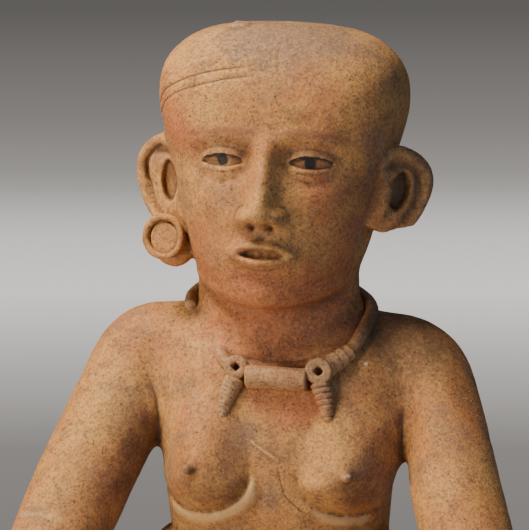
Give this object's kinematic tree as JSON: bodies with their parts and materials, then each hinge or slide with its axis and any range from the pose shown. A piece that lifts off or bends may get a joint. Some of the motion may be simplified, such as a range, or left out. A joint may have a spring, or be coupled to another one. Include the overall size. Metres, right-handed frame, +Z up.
{
  "type": "seated female figure",
  "caption": "Hollow fired-clay figure of a woman seated cross-legged on a low pad, hands on her knees, with a bead necklace, one ear spool and a wrapped skirt.",
  "frame": {"origin": "centre of the bounding box at its lowest level, where the pad under the figure stands", "axes": "+Z up, +X towards the figure's left hand, -Y the way the figure faces"},
  "size_m": [0.3598, 0.2999, 0.4902],
  "materials": {
    "fired_clay": "matt, unglazed, with worn red paint"
  },
  "bodies": {
    "root": {"seated_figure": "fired_clay"}
  },
  "joints": []
}
